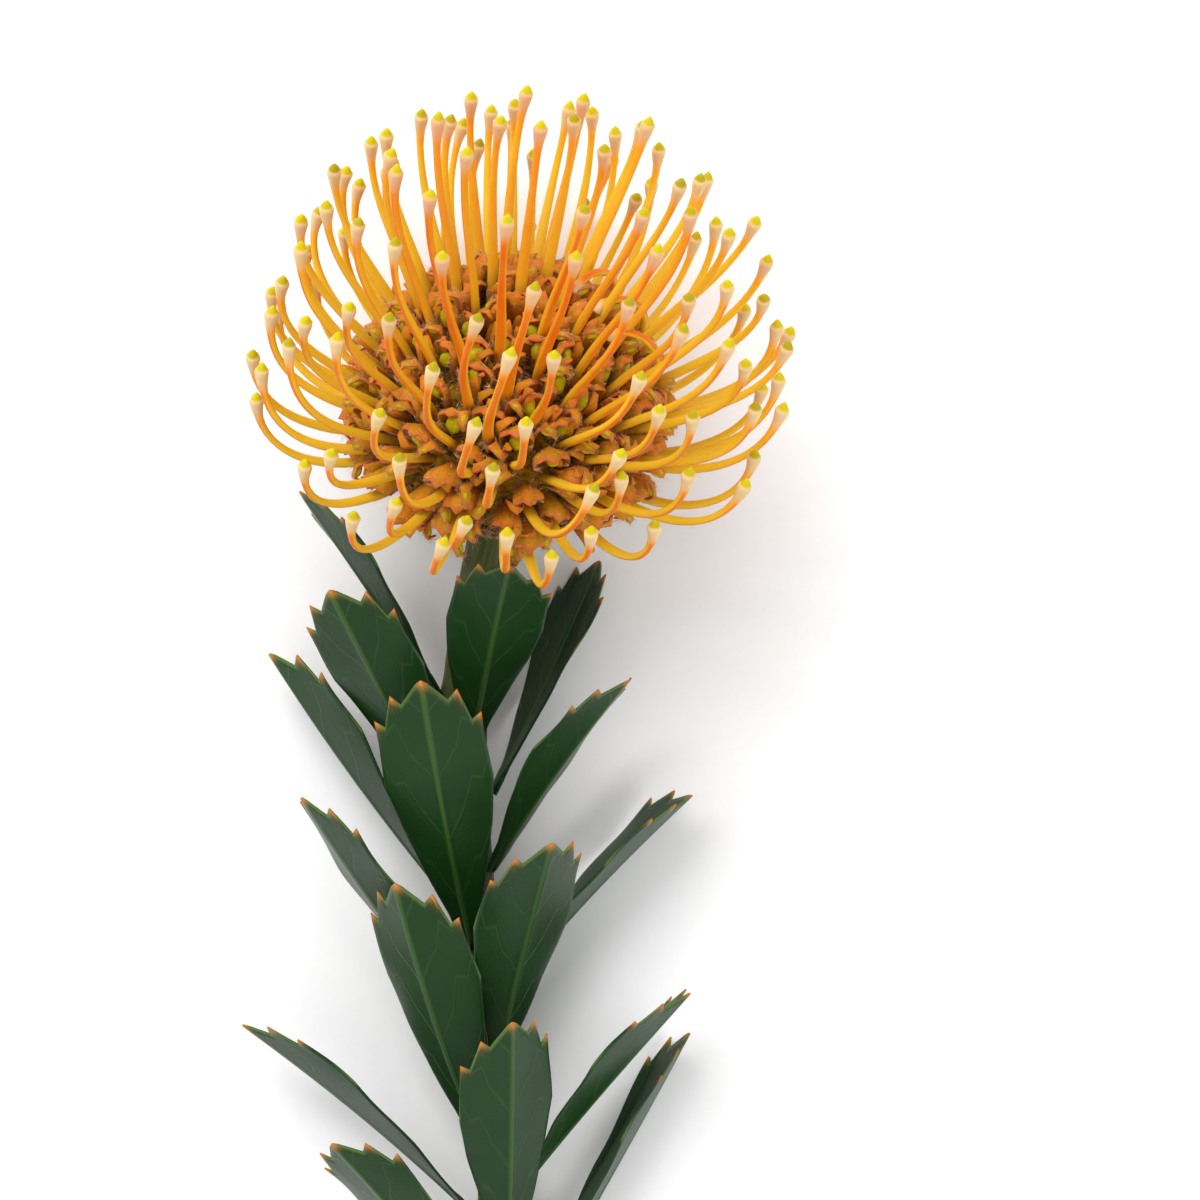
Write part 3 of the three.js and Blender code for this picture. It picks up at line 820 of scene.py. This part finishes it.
def leaf_placer(index, sizes):
    """Gives the function that places a point of one leaf by its reach, its place across and its height"""
    share = leaf_share(index)
    base, up, level, top = on_stem(share)
    turn = leaf_turn(index)
    out = level * math.cos(turn) + top * math.sin(turn)
    side = out.cross(up)
    age = lerp(YOUNGEST_LEAF, 1, min(1, index / 8))
    blade = sizes.leaf_length * age * (1 + 0.08 * draw(index, LEAF_DRAW + 1))
    half = sizes.leaf_half * age * (1 + 0.1 * draw(index, LEAF_DRAW + 2))
    rise = rad(LEAF_RISE + 7 * draw(index, LEAF_DRAW + 3))
    if out.z < 0:
        rise = min(rise, math.asin(min(1, LEAF_SINKING / -out.z)))
    curl = rad(LEAF_CURL * draw(index, LEAF_DRAW + 4) - 4)
    cup = 0.28 + 0.1 * draw(index, LEAF_DRAW + 5)
    twist = rad(LEAF_TWIST * draw(index, LEAF_DRAW + 6))
    seat = along(STEM_RADII, share) * MM + CLEARANCE + LEAF_THICKNESS * 0.8
    spot = base + out * seat
    middle = []
    for k in range(LEAF_STEPS + 1):
        lean = rise + curl * k / LEAF_STEPS
        heading = up * math.cos(lean) + out * math.sin(lean)
        middle.append((spot.copy(), up * math.sin(lean) - out * math.cos(lean)))
        spot += heading * blade / LEAF_STEPS

    def place(reach, wide, height):
        spot = along([step[0] for step in middle], reach)
        face = along([step[1] for step in middle], reach).normalized()
        roll = twist * reach
        across = side * math.cos(roll) + face * math.sin(roll)
        facing = face * math.cos(roll) - side * math.sin(roll)
        soft = math.sqrt(wide * wide + 0.004) - 0.063
        bow = cup * soft * half * min(1, reach * 3)
        ripple = math.sin(14 * reach + 5 * draw(index, 35) + (1.5 if wide > 0 else 0))
        wave = LEAF_WAVE * ripple * abs(wide) ** 3
        centre = spot + across * wide * half + facing * (bow + wave * min(1, reach * 3))
        centre.z = max(centre.z, LOWEST_LEAF)
        return centre + facing * height

    return place


class OBJECT_OT_flower_leaves(bpy.types.Operator):
    """Make the leathery leaves with their toothed tips, midribs and light margins"""

    bl_idname = "object.flower_leaves"
    bl_label = "Leaves"

    def execute(self, context):
        sizes = context.scene.flower_sizes
        material = leaf_material(context)
        blade = slab(32, 30)
        grown = [index for index in range(LEAF_PLACES) if leaf_grows(index)]
        for order, index in enumerate(grown, 1):
            place = leaf_placer(index, sizes)
            bm = start_piece("across", "share", "tooth")

            def move(co, place=place):
                top = between(TOOTH_PLACES, TOOTH_REACHES, abs(co.x))
                reach = top * co.y
                wide = co.x * between(LEAF_SHARES, LEAF_WIDTHS, reach)
                rim = max(abs(co.x), co.y) ** 6
                thick = LEAF_THICKNESS * (1.5 if reach < 0.1 else 1) * (1 - 0.45 * rim) / 2
                rib = math.exp(-((co.x / 0.07) ** 2)) * (1 - 0.8 * reach)
                height = thick - 0.12 * MM * rib if co.z > 0.5 else -thick - 0.45 * MM * rib
                tooth = 0
                for spot, tip in TOOTH_TIPS:
                    near = ((abs(wide) - spot) / 0.09) ** 2 + ((reach - tip) / 0.022) ** 2
                    tooth = max(tooth, math.exp(-near))
                marks = {"across": wide, "share": co.y, "tooth": tooth}
                return place(reach, wide, height), marks

            add_copies(bm, blade.copy(), [move])
            finish_piece(f"leaf_blade_{order:02d}", bm, material, [f"leaf_{order:02d}"])
        blade.free()
        return {"FINISHED"}


class OBJECT_OT_flower_stem(bpy.types.Operator):
    """Make the woody stem with its leaf scars and its cut end"""

    bl_idname = "object.flower_stem"
    bl_label = "Stem"

    def execute(self, context):
        outline = [(0, 0), (0.5, 0)]
        outline += [(1, k / STEM_RINGS) for k in range(STEM_RINGS + 1)]
        outline += [(0.8, 1), (0.5, 1), (0.2, 1), (0, 1)]
        places = [(leaf_share(k), leaf_turn(k), leaf_grows(k)) for k in range(LEAF_PLACES)]
        bm = start_piece("share", "radial", "scar", "round")
        rings = {}

        def move(co):
            share = round(co.z, 5)
            if share not in rings:
                rings[share] = on_stem(share)
            place, _, level, top = rings[share]
            turn = math.atan2(co.y, co.x)
            radius = along(STEM_RADII, share) * MM
            scar = 0
            swell = 0.1 * MM * math.sin(5 * turn + 9 * share) + 0.06 * MM * math.sin(11 * turn - 30 * share)
            for leaf, way, grows in places:
                lengthwise = (share - leaf) * STEM_LENGTH / SCAR_HEIGHT
                roundwise = math.remainder(turn - way, math.tau) * radius / SCAR_WIDTH
                near = math.exp(-(lengthwise**2) - roundwise**2)
                swell += (LEAF_SWELL if grows else SCAR_SWELL) * near
                if not grows:
                    scar = max(scar, math.exp(-((lengthwise * 1.5) ** 2) - (roundwise * 1.3) ** 2))
            reach = min(1, math.hypot(co.x, co.y))
            centre = place.copy()
            wide = (radius + swell) * reach
            centre.z = max(centre.z, radius + swell)
            spot = centre + (level * math.cos(turn) + top * math.sin(turn)) * wide
            return spot, {"share": share, "radial": reach, "scar": scar, "round": turn / math.tau}

        add_copies(bm, turned(outline, STEM_SIDES), [move])
        finish_piece("stem_bark", bm, bark_material(context), ["stem"])
        return {"FINISHED"}


# ---- Materials ----

# A mix of colours gives its third output
MIX = {"out": 2, "data_type": "RGBA"}


def solid(shade):
    """Gives a colour that covers fully, from a hex text or from linear red, green and blue"""
    return (*(linear(shade) if isinstance(shade, str) else shade), 1)


def feed(tree, socket, value):
    """Links a socket or sets its value"""
    if isinstance(value, bpy.types.NodeSocket):
        tree.links.new(value, socket)
    else:
        socket.default_value = solid(value) if socket.type == "RGBA" else value


def add_node(tree, kind, inputs=(), stops=(), out=0, **options):
    """Adds a node with its options, values, links and colour stops, and gives one of its outputs"""
    node = tree.nodes.new(kind)
    for name, value in options.items():
        setattr(node, name, value)
    for place, value in dict(inputs).items():
        feed(tree, node.inputs[place], value)
    for k, (place, shade) in enumerate(stops):
        elements = node.color_ramp.elements
        element = elements[k] if k < 2 else elements.new(place)
        element.position = place
        element.color = solid(shade)
    return node.outputs[out]


def new_material(name, *marks):
    """Starts a material and gives it with its tree, the places on the piece and its points' marks"""
    material = bpy.data.materials.new(name)
    material.use_nodes = True
    tree = material.node_tree
    where = add_node(tree, "ShaderNodeTexCoord", out="Object")
    values = [add_node(tree, "ShaderNodeAttribute", out="Fac", attribute_name=mark) for mark in marks]
    return material, tree, where, *values


def dress(material, base, layers, values):
    """Mixes layers over a material's base colour, each by its amount, and feeds its shader"""
    tree = material.node_tree
    for amount, shade in layers:
        base = add_node(tree, "ShaderNodeMix", {0: amount, 6: base, 7: shade}, **MIX)
    sockets = tree.nodes["Principled BSDF"].inputs
    for name, value in {"Base Color": base, **values}.items():
        feed(tree, sockets[name], value)
    return material


def style_material(context):
    """Living style: smooth waxy tissue that glows where light comes through it"""
    c = context.scene.flower_colours
    material, tree, where, share, inner, age, tone = new_material(
        "Waxy style tissue", "share", "inner", "age", "tone"
    )
    stops = ((0.25, "#B87400"), (0.38, "#E89A10"), (0.6, c.style_outer))
    stops += ((0.88, c.style_outer), (0.908, "#F6A040"))
    outer_side = add_node(tree, "ShaderNodeValToRGB", {0: share}, stops)
    stops = ((0.25, "#C08A00"), (0.36, c.style_inner), (0.78, c.style_inner))
    stops += ((0.88, "#F6B428"), (0.908, "#F8BC60"))
    inner_side = add_node(tree, "ShaderNodeValToRGB", {0: share}, stops)
    side = {0: inner, 1: 0.08, 2: 0.46}
    side = add_node(tree, "ShaderNodeMapRange", side, interpolation_type="SMOOTHSTEP")
    # The styles near the apex are the youngest and the reddest
    young = add_node(tree, "ShaderNodeMapRange", {0: age, 1: 0, 2: 0.3, 3: 0.55, 4: 0})
    upper = add_node(tree, "ShaderNodeMapRange", {0: share, 1: 0.3, 2: 0.6})
    tint = add_node(tree, "ShaderNodeMath", {0: young, 1: upper}, operation="MULTIPLY")
    pale = add_node(tree, "ShaderNodeMix", {0: young, 6: c.presenter, 7: c.presenter_young}, **MIX)
    swollen = add_node(tree, "ShaderNodeMapRange", {0: share, 1: 0.9, 2: 0.938})
    capped = add_node(tree, "ShaderNodeMapRange", {0: share, 1: 0.9725, 2: 0.978})
    ripe = add_node(tree, "ShaderNodeMapRange", {0: tone, 1: 0.55, 2: 1, 3: 0, 4: 0.85})
    cap = add_node(tree, "ShaderNodeMix", {0: ripe, 6: c.cap, 7: "#8E8600"}, **MIX)
    # Faint cloudiness a few millimetres across, so that no two styles are quite alike
    cloud = add_node(tree, "ShaderNodeTexNoise", {"Vector": where, "Scale": 1 / (5.5 * MM), "Detail": 2})
    cloud = add_node(tree, "ShaderNodeValToRGB", {0: cloud}, ((0.35, "#DC7800"), (0.7, "#F6C038")))

    layers = ((side, inner_side), (tint, c.style_young), (swollen, pale), (capped, cap), (0.12, cloud))
    values = {
        "Roughness": 0.42,
        "Subsurface Weight": 0.3,
        "Subsurface Radius": (1.0, 0.75, 0.2),
        "Subsurface Scale": 1.6 * MM,
        "Specular IOR Level": 0.18,
    }
    return dress(material, outer_side, layers, values)


def perianth_material(context):
    """Perianth: thin amber tissue that lets light through, salmon and fluffy with down at its edges"""
    c = context.scene.flower_colours
    material, tree, where, share, margin, ridge, inside, age = new_material(
        "Downy perianth", *PERIANTH_MARKS
    )
    stops = ((0.15, "#7E5C0A"), (0.45, "#B46A00"), (0.68, c.hood_outside), (0.95, "#D07A1C"))
    outer = add_node(tree, "ShaderNodeValToRGB", {0: share}, stops)
    stops = ((0.15, "#7C5C08"), (0.45, "#AC7400"), (0.7, c.hood_inside), (1, "#D08A10"))
    inner = add_node(tree, "ShaderNodeValToRGB", {0: share}, stops)
    # Two grooves part the three joined tepals, and painted shade darkens them
    groove = add_node(tree, "ShaderNodeMapRange", {0: ridge, 1: 0.1, 2: 0.6, 3: 0.7, 4: 0})
    # Some florets stay olive green low down
    patch = add_node(tree, "ShaderNodeTexNoise", {"Vector": where, "Scale": 1 / (8 * MM), "Detail": 2})
    patch = add_node(tree, "ShaderNodeMapRange", {0: patch, 1: 0.45, 2: 0.65, 3: 0, 4: 0.55})
    edge = add_node(tree, "ShaderNodeMapRange", {0: margin, 1: 0.84, 2: 0.98})
    top = add_node(tree, "ShaderNodeMapRange", {0: share, 1: 0.3, 2: 0.5})
    edge = add_node(tree, "ShaderNodeMath", {0: edge, 1: top}, operation="MULTIPLY")
    end = add_node(tree, "ShaderNodeMapRange", {0: share, 1: 0.94, 2: 0.99})
    rim = add_node(tree, "ShaderNodeMath", {0: edge, 1: end}, operation="MAXIMUM")
    # The florets near the apex are redder and browner
    young = add_node(tree, "ShaderNodeMapRange", {0: age, 1: 0, 2: 0.3, 3: 0.4, 4: 0})
    # Down in tufts about a millimetre across
    down = add_node(tree, "ShaderNodeTexNoise", {"Vector": where, "Scale": 1 / (1.1 * MM), "Detail": 3})
    tufts = add_node(tree, "ShaderNodeValToRGB", {0: down}, ((0.3, "#8A4E00"), (0.72, "#EEB450")))
    bump = add_node(tree, "ShaderNodeBump", {"Height": down, "Strength": 0.6, "Distance": 0.3 * MM})

    # The groove layer is painted shade in the creases between the tepals
    layers = ((inside, inner), (groove, "#844A00"), (patch, "#948000"))
    layers += ((rim, c.hood_margin), (young, "#BE621C"), (0.15, tufts))
    values = {
        "Normal": bump,
        "Roughness": 0.55,
        "Subsurface Weight": 0.25,
        "Subsurface Radius": (1.0, 0.65, 0.2),
        "Subsurface Scale": 1.2 * MM,
        "Sheen Weight": 0.08,
        "Sheen Roughness": 0.4,
        "Sheen Tint": "#FFE7CB",
        "Specular IOR Level": 0.08,
    }
    return dress(material, outer, layers, values)


def limb_material(context):
    """Limb: a soft yellow-green drop, lighter at its rounded end and dusted with pollen"""
    c = context.scene.flower_colours
    material, tree, where, share = new_material("Soft green limb", "share")
    stops = ((0, "#A08A00"), (0.35, c.limb), (0.8, "#CCC81E"), (1, "#B8A010"))
    base = add_node(tree, "ShaderNodeValToRGB", {0: share}, stops)
    dust = add_node(tree, "ShaderNodeTexNoise", {"Vector": where, "Scale": 1 / (0.7 * MM), "Detail": 2})
    flecks = add_node(tree, "ShaderNodeMapRange", {0: dust, 1: 0.5, 2: 0.75, 3: 0, 4: 0.5})
    bump = add_node(tree, "ShaderNodeBump", {"Height": dust, "Strength": 0.4, "Distance": 0.2 * MM})

    values = {
        "Normal": bump,
        "Roughness": 0.55,
        "Subsurface Weight": 0.2,
        "Subsurface Radius": (0.8, 0.8, 0.2),
        "Subsurface Scale": 1 * MM,
        "Specular IOR Level": 0.15,
    }
    return dress(material, base, [(flecks, "#E2DA50")], values)


def hair_material(context):
    """Silky hair: fine, pale and a little rosy, with a silken gloss"""
    c = context.scene.flower_colours
    material, tree, where = new_material("Silky hair")
    patch = add_node(tree, "ShaderNodeTexNoise", {"Vector": where, "Scale": 1 / (4 * MM), "Detail": 1})
    values = {"Roughness": 0.45, "Specular IOR Level": 0.15}
    return dress(material, c.hair, [(patch, "#E8A878")], values)


def felt_material(context):
    """Woolly ground: brown, matt and tufted, seen only in the gaps between the florets"""
    c = context.scene.flower_colours
    material, tree, where, stalk = new_material("Brown wool", "stalk")
    wool = add_node(tree, "ShaderNodeTexNoise", {"Vector": where, "Scale": 1 / (1.4 * MM), "Detail": 4})
    stops = ((0.3, "#5C4004"), (0.55, c.felt), (0.8, "#B48A22"))
    base = add_node(tree, "ShaderNodeValToRGB", {0: wool}, stops)
    bump = add_node(tree, "ShaderNodeBump", {"Height": wool, "Strength": 0.8, "Distance": 0.5 * MM})
    values = {"Normal": bump, "Roughness": 0.9, "Specular IOR Level": 0.05}
    # The short stalk under the head is green like the stem
    return dress(material, base, [(stalk, c.bark)], values)


def bract_material(context):
    """Bract: papery, olive-brown and downy, paler at its fringed edges"""
    c = context.scene.flower_colours
    material, tree, where, share, margin = new_material("Downy bract", "share", "margin")
    stops = ((0, "#5E5420"), (0.5, c.bract), (1, "#96603A"))
    base = add_node(tree, "ShaderNodeValToRGB", {0: share}, stops)
    fringe = add_node(tree, "ShaderNodeMapRange", {0: margin, 1: 0.7, 2: 1, 3: 0, 4: 0.7})
    down = add_node(tree, "ShaderNodeTexNoise", {"Vector": where, "Scale": 1 / (0.9 * MM), "Detail": 3})
    tufts = add_node(tree, "ShaderNodeValToRGB", {0: down}, ((0.35, "#4A4424"), (0.65, "#A89A6A")))
    bump = add_node(tree, "ShaderNodeBump", {"Height": down, "Strength": 0.6, "Distance": 0.3 * MM})

    values = {"Normal": bump, "Roughness": 0.8, "Specular IOR Level": 0.1, "Sheen Weight": 0.15}
    return dress(material, base, [(fringe, "#C8B48A"), (0.3, tufts)], values)


def bark_material(context):
    """Young bark: green to brown, ribbed lengthwise, with grey scars and pale wood at the cut"""
    c = context.scene.flower_colours
    material, tree, where, share, radial, scar, around = new_material(
        "Young bark", "share", "radial", "scar", "round"
    )
    stops = ((0, "#62702E"), (0.35, c.bark), (1, "#5A4630"))
    base = add_node(tree, "ShaderNodeValToRGB", {0: share}, stops)
    blotch = add_node(tree, "ShaderNodeTexNoise", {"Vector": where, "Scale": 1 / (3.8 * MM), "Detail": 4})
    patches = add_node(tree, "ShaderNodeMapRange", {0: blotch, 1: 0.45, 2: 0.65, 3: 0, 4: 0.75})
    # Fibres run along the stem, about 0.6 mm apart
    place = add_node(tree, "ShaderNodeCombineXYZ", {0: around, 1: share})
    place = add_node(tree, "ShaderNodeVectorMath", {0: place, 1: (45, 12, 1)}, operation="MULTIPLY")
    fibre = add_node(tree, "ShaderNodeTexNoise", {"Vector": place, "Scale": 1, "Detail": 3})
    dark = add_node(tree, "ShaderNodeMapRange", {0: fibre, 1: 0.35, 2: 0.6, 3: 0.55, 4: 0})
    stops = ((0.2, c.pith), (0.42, "#D8CC9C"), (0.82, "#B0AC6A"), (0.93, "#6A7A3A"))
    wood = add_node(tree, "ShaderNodeValToRGB", {0: radial}, stops)
    cut = add_node(tree, "ShaderNodeMath", {0: radial, 1: 0.97}, operation="LESS_THAN")
    bump = add_node(tree, "ShaderNodeBump", {"Height": fibre, "Strength": 0.7, "Distance": 0.4 * MM})

    layers = ((patches, "#4A3424"), (dark, "#2E2618"), (scar, "#9A8A66"), (cut, wood))
    return dress(material, base, layers, {"Normal": bump, "Roughness": 0.7})


def leaf_material(context):
    """Leathery leaf: thick dark blade with a soft waxy shine, light veins and a thin horny edge"""
    c = context.scene.flower_colours
    material, tree, where, across, share, tooth = new_material("Leathery leaf", "across", "share", "tooth")
    wide = add_node(tree, "ShaderNodeMath", {0: across}, operation="ABSOLUTE")
    mottle = add_node(tree, "ShaderNodeTexNoise", {"Vector": where, "Scale": 1 / (8 * MM), "Detail": 4})
    # Side veins leave the midrib at a slant, nine to a leaf
    slant = add_node(tree, "ShaderNodeMath", {0: wide, 1: -0.42, 2: share}, operation="MULTIPLY_ADD")
    wobble = add_node(tree, "ShaderNodeMath", {0: mottle, 1: 0.05, 2: slant}, operation="MULTIPLY_ADD")
    rows = add_node(tree, "ShaderNodeMath", {0: wobble, 1: 9}, operation="MULTIPLY")
    saw = add_node(tree, "ShaderNodeMath", {0: rows, 1: 1}, operation="PINGPONG")
    veins = add_node(tree, "ShaderNodeMapRange", {0: saw, 1: 0, 2: 0.09, 3: 0.3, 4: 0})
    rib = add_node(tree, "ShaderNodeMapRange", {0: wide, 1: 0.02, 2: 0.07, 3: 0.8, 4: 0})
    lines = add_node(tree, "ShaderNodeMath", {0: veins, 1: rib}, operation="MAXIMUM")
    border = add_node(tree, "ShaderNodeMath", {0: wide, 1: share}, operation="MAXIMUM")
    edge = add_node(tree, "ShaderNodeMapRange", {0: border, 1: 0.98, 2: 0.997, 3: 0, 4: 0.6})
    grain = add_node(tree, "ShaderNodeTexNoise", {"Vector": where, "Scale": 1 / (0.65 * MM), "Detail": 2})
    height = add_node(tree, "ShaderNodeMath", {0: grain, 1: 0.3, 2: lines}, operation="MULTIPLY_ADD")
    bump = add_node(tree, "ShaderNodeBump", {"Height": height, "Strength": 0.45, "Distance": 0.3 * MM})

    layers = ((mottle, "#1C4018"), (lines, c.leaf_vein), (edge, c.leaf_margin), (tooth, c.leaf_tooth))
    values = {"Normal": bump, "Roughness": 0.36, "Specular IOR Level": 0.28}
    return dress(material, c.leaf, layers, values)


def table_material(context):
    """Matt white paper under the flower"""
    c = context.scene.flower_colours
    material, tree, where = new_material("Matt white paper")
    grain = add_node(tree, "ShaderNodeTexNoise", {"Vector": where, "Scale": 1 / (1.7 * MM), "Detail": 2})
    return dress(material, c.table, [(grain, "#FAFAFA")], {"Roughness": 0.9})


# ---- The table, the light and the camera ----

# The photograph is 1200 pixels square. The head's middle is at this pixel, at this many pixels a millimetre
PHOTO_SIZE = 1200
HEAD_PIXEL = (508, 407)
PIXELS_PER_MM = 5.45
CAMERA_HEIGHT = 650 * MM
SENSOR = 36

# The lamps' places in metres and their watts. The room's own light is almost as bright
LAMPS = (("window", (-0.45, 0.75, 0.95), 11.5), ("bounce", (0.9, -0.4, 0.7), 3))
LAMP_SIZE = 0.8
ROOM_LIGHT = 0.82
TABLE_HALF = 1.5


class SCENE_OT_flower_stage(bpy.types.Operator):
    """Lay the pale table and set up the lights and the camera"""

    bl_idname = "scene.flower_stage"
    bl_label = "Table, light and camera"

    def execute(self, context):
        scene = context.scene
        bm = bmesh.new()
        bmesh.ops.create_grid(bm, x_segments=1, y_segments=1, size=TABLE_HALF)
        mesh = kept("table", bm)
        mesh.materials.append(table_material(context))
        table = bpy.data.objects.new("table", mesh)
        scene.collection.objects.link(table)

        world = bpy.data.worlds.new("Bright room")
        world.use_nodes = True
        world.node_tree.nodes["Background"].inputs["Color"].default_value = (1, 1, 1, 1)
        world.node_tree.nodes["Background"].inputs["Strength"].default_value = ROOM_LIGHT
        scene.world = world

        for name, place, power in LAMPS:
            lamp = bpy.data.lights.new(name, "AREA")
            lamp.energy, lamp.size = power, LAMP_SIZE
            light = bpy.data.objects.new(name, lamp)
            light.location = place
            light.rotation_euler = (HEAD_CENTRE - Vector(place)).to_track_quat("-Z", "Y").to_euler()
            scene.collection.objects.link(light)

        camera = bpy.data.cameras.new("camera")
        camera.sensor_width = SENSOR
        camera.lens = PIXELS_PER_MM * CAMERA_HEIGHT / MM / PHOTO_SIZE * SENSOR
        across = (PHOTO_SIZE / 2 - HEAD_PIXEL[0]) / PIXELS_PER_MM * MM
        upward = (HEAD_PIXEL[1] - PHOTO_SIZE / 2) / PIXELS_PER_MM * MM
        eye = bpy.data.objects.new("camera", camera)
        eye.location = HEAD_CENTRE + Vector((across, upward, CAMERA_HEIGHT))
        scene.collection.objects.link(eye)
        scene.camera = eye
        scene.view_settings.view_transform = "Standard"
        return {"FINISHED"}


class VIEW3D_PT_flower(bpy.types.Panel):
    """Lists the pieces of the flower"""

    bl_label = "Pincushion flower"
    bl_idname = "VIEW3D_PT_flower"
    bl_space_type = "VIEW_3D"
    bl_region_type = "UI"
    bl_category = "Flower"

    def draw(self, context):
        for group in (context.scene.flower_sizes, context.scene.flower_colours):
            box = self.layout.box()
            for name in group.__annotations__:
                box.prop(group, name)
        for step in STEPS:
            self.layout.operator(step.bl_idname)


STEPS = (
    SCENE_OT_flower_stage,
    OBJECT_OT_flower_receptacle,
    OBJECT_OT_flower_styles,
    OBJECT_OT_flower_perianths,
    OBJECT_OT_flower_hairs,
    OBJECT_OT_flower_bracts,
    OBJECT_OT_flower_stem,
    OBJECT_OT_flower_leaves,
)
CLASSES = (FlowerSizes, FlowerColours, *STEPS, VIEW3D_PT_flower)


def register():
    for item in CLASSES:
        bpy.utils.register_class(item)
    bpy.types.Scene.flower_sizes = bpy.props.PointerProperty(type=FlowerSizes)
    bpy.types.Scene.flower_colours = bpy.props.PointerProperty(type=FlowerColours)


def unregister():
    del bpy.types.Scene.flower_colours
    del bpy.types.Scene.flower_sizes
    for item in reversed(CLASSES):
        bpy.utils.unregister_class(item)


def main():
    register()
    for step in STEPS:
        group, name = step.bl_idname.split(".")
        getattr(getattr(bpy.ops, group), name)()


if __name__ == "__main__":
    main()
